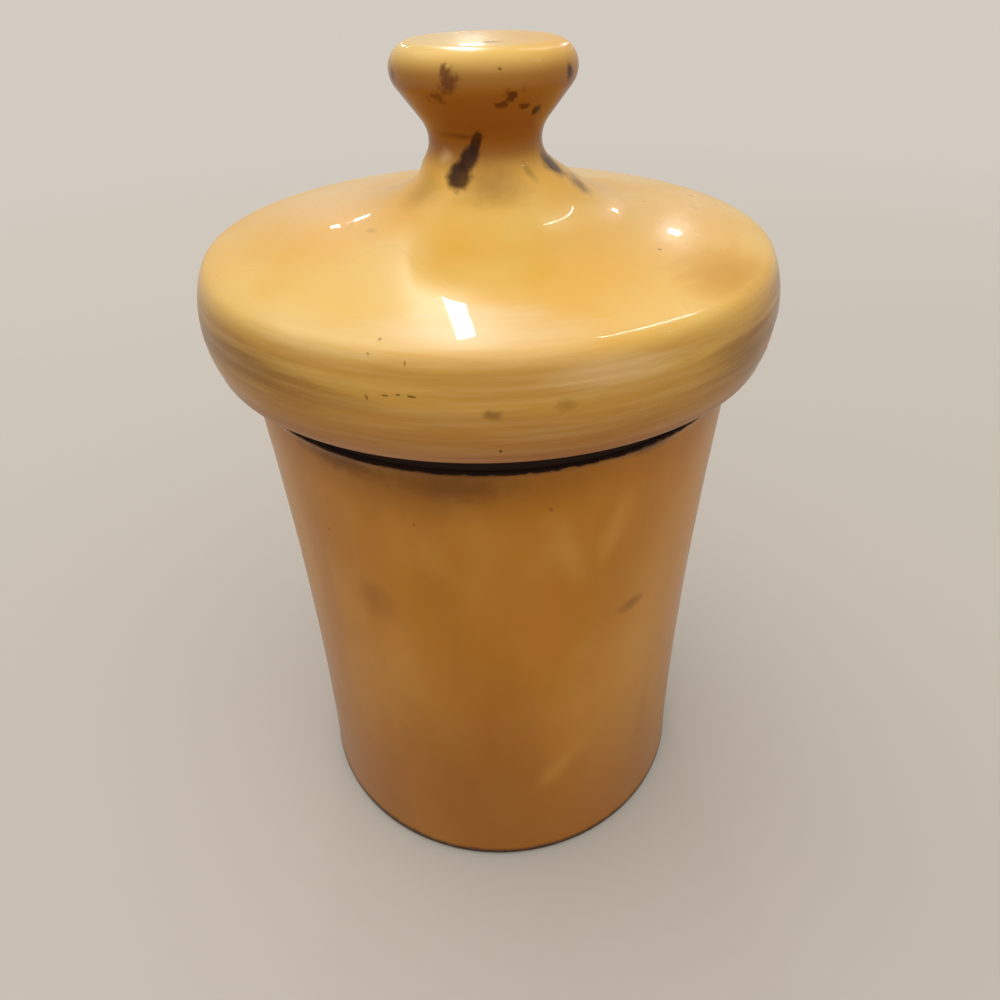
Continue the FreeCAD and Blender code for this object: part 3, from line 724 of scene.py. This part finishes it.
worn_marks = [
    # lighter glaze under the knob, olive glaze down the sweep
    (42.0, 14.0, 41.0, (6.0, 6.0, 5.0), 0.0, 0.4, 0.95, knob_amber, 0.55),
    (-55.0, 14.0, 27.0, (6.0, 6.0, 5.0), 0.0, 0.4, 0.95, olive, 0.35),
    # the knob's scorched marks
    (-20.0, 16.0, 44.6, (2.2, 3.0, 2.8), 0.0, 2.6, 0.8, char, 0.75),
    (-30.0, 15.1, 41.9, (1.8, 2.0, 1.7), 0.0, 2.6, 0.8, char, 0.60),
    (9.0, 15.7, 45.9, (0.5, 1.0, 0.4), 0.0, 1.2, 0.8, char, 0.9),
    (16.0, 15.3, 42.1, (1.9, 2.0, 1.3), 24.0, 2.8, 0.7, char, 0.95),
    (11.0, 14.3, 40.8, (1.6, 2.0, 0.9), 0.0, 2.4, 0.7, char, 0.85),
    (27.0, 13.9, 40.3, (1.3, 2.0, 1.0), 0.0, 2.6, 0.7, char, 0.9),
    (40.0, 13.1, 39.3, (1.2, 2.0, 1.1), 0.0, 2.0, 0.7, scorch, 0.9),
    (60.0, 16.0, 44.1, (1.5, 2.0, 2.2), 0.0, 1.6, 0.8, scorch, 0.9),
    (-67.0, 16.0, 44.1, (1.4, 2.0, 1.7), 0.0, 1.8, 0.8, char, 0.8),
    (9.0, 8.7, 48.8, (2.6, 1.0, 0.8), 0.0, 1.8, 0.8, char, 0.7),
    (-150.0, 15.6, 43.0, (1.8, 2.0, 1.8), 0.0, 2.6, 0.8, char, 0.8),
    (165.0, 14.5, 41.0, (1.6, 2.0, 1.3), 0.0, 2.4, 0.8, char, 0.8),
    # drips on the neck
    (-9.0, 10.3, 34.6, (1.1, 3.0, 2.8), -20.0, 0.5, 0.5, scorch, 0.95),
    (-16.0, 10.4, 32.3, (2.0, 3.0, 3.0), -34.0, 0.5, 0.5, scorch, 0.95),
    (-24.0, 12.0, 29.9, (3.0, 3.6, 3.0), -36.0, 0.7, 0.5, scorch, 0.95),
    (-22.0, 10.2, 35.6, (6.0, 4.0, 0.8), 0.0, 0.9, 0.95, char, 0.5),
    # a painted reflection beside the neck
    (-42.0, 10.9, 32.3, (2.2, 3.0, 2.0), 0.0, 0.6, 0.95, cream, 0.35),
    # more drips and glaze down the neck and the sweep
    (73.0, 12.2, 30.0, (3.8, 5.0, 3.6), 30.0, 0.8, 0.7, scorch, 0.9),
    (78.0, 16.5, 26.2, (4.4, 5.0, 2.4), 20.0, 0.9, 0.95, char, 0.7),
    (38.0, 12.0, 29.7, (1.2, 3.0, 3.0), 20.0, 0.9, 0.95, olive, 0.5),
    (5.0, 13.0, 29.0, (9.0, 6.0, 6.0), 0.0, 0.4, 0.98, knob_amber, 0.55),
    # dashes and specks on the rim and the dome
    (-19.0, 54.1, 10.8, (0.3, 1.0, 0.8), 20.0, 1.4, 0.7, umber, 0.7),
    (-16.0, 54.0, 11.3, (0.8, 1.0, 0.22), 0.0, 1.4, 0.7, umber, 0.75),
    (-14.0, 53.9, 11.6, (0.5, 1.0, 0.2), 0.0, 1.4, 0.7, umber, 0.7),
    (-12.0, 53.9, 11.5, (0.9, 1.0, 0.25), -5.0, 1.4, 0.7, umber, 0.8),
    (-18.0, 49.7, 17.7, (0.35, 0.6, 0.3), 0.0, 1.4, 0.7, umber, 0.6),
    (-19.0, 52.1, 16.4, (0.35, 0.6, 0.3), 0.0, 1.4, 0.7, umber, 0.5),
    (-13.0, 52.4, 15.8, (0.25, 0.6, 0.6), 0.0, 1.4, 0.7, umber, 0.5),
    (0.0, 54.3, 9.1, (1.9, 2.0, 1.1), 0.0, 1.8, 0.95, umber, 0.50),
    (11.0, 54.2, 9.8, (2.6, 2.0, 1.4), 0.0, 1.8, 0.95, patina_and_shade, 0.40),
    (1.0, 53.8, 2.8, (0.3, 0.8, 0.3), 0.0, 0.6, 0.5, scorch, 0.9),
    (51.0, 35.8, 20.7, (0.4, 0.5, 0.4), 0.0, 0.8, 0.6, umber, 0.8),
    (-53.0, 24.5, 22.5, (2.0, 1.2, 0.7), 0.0, 1.8, 0.95, umber, 0.35),
]
colour = add_marks(tree, colour, place, centred(calc, grain), above_seat(worn_marks))
# the chip's bare pale clay, spread over its edge as a painted highlight
pale_patch_turn, pale_patch_height = math.pi / 2 + chip_turn - 0.03, chip_height - 0.0004
pale_patch_reach = (0.0046, 0.0022, 0.0023)
pale_patch = use_group(tree, patch_group, Place=place, Bearing=pale_patch_turn,
                 Radius=lid_reach - chip_depth / 2, Height=pale_patch_height, Reach=pale_patch_reach,
                 Ragged=centred(calc, grain), Raggedness=0.9, Softness=0.25)
colour = mix_colour(tree, pale_patch, colour, chip_clay_and_highlight)
roughness = calc.math("ADD", calc.ramp(clouds, 0.0, 1.0, 0.26, 0.34), calc.math("MULTIPLY", pale_patch, 0.5))
coat = calc.math("MULTIPLY", calc.math("SUBTRACT", 1.0, pale_patch), 0.25)
finish_glaze(tree, colour, roughness, waves, coat)

lid_tree = turning_tree("turned_lid", [
    ("NodeSocketFloat", "Lean", 0.0015), ("NodeSocketFloat", "Lean Turn", 0.0),
    ("NodeSocketFloat", "Chip Turn", 0.0), ("NodeSocketFloat", "Chip Height", 0.0),
    ("NodeSocketFloat", "Chip Half Width", 0.0075), ("NodeSocketFloat", "Chip Half Height", 0.005),
    ("NodeSocketFloat", "Chip Half Reach", 0.003)], shape_by_hand)
lid = turn_piece("lid_glazed", lid_outline(), lid_tree, {
    "Segments": 360, "Out Of Round": 0.0003, "Throwing Rings": 0.00008, "Seed": 7.0,
    "Glaze": lid_glaze, "Lean": 0.0015, "Lean Turn": math.radians(15.0), "Chip Turn": chip_turn,
    "Chip Height": chip_height, "Chip Half Width": chip_half_width,
    "Chip Half Height": chip_half_height, "Chip Half Reach": chip_half_reach})
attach(lid, "root")
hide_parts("lid")
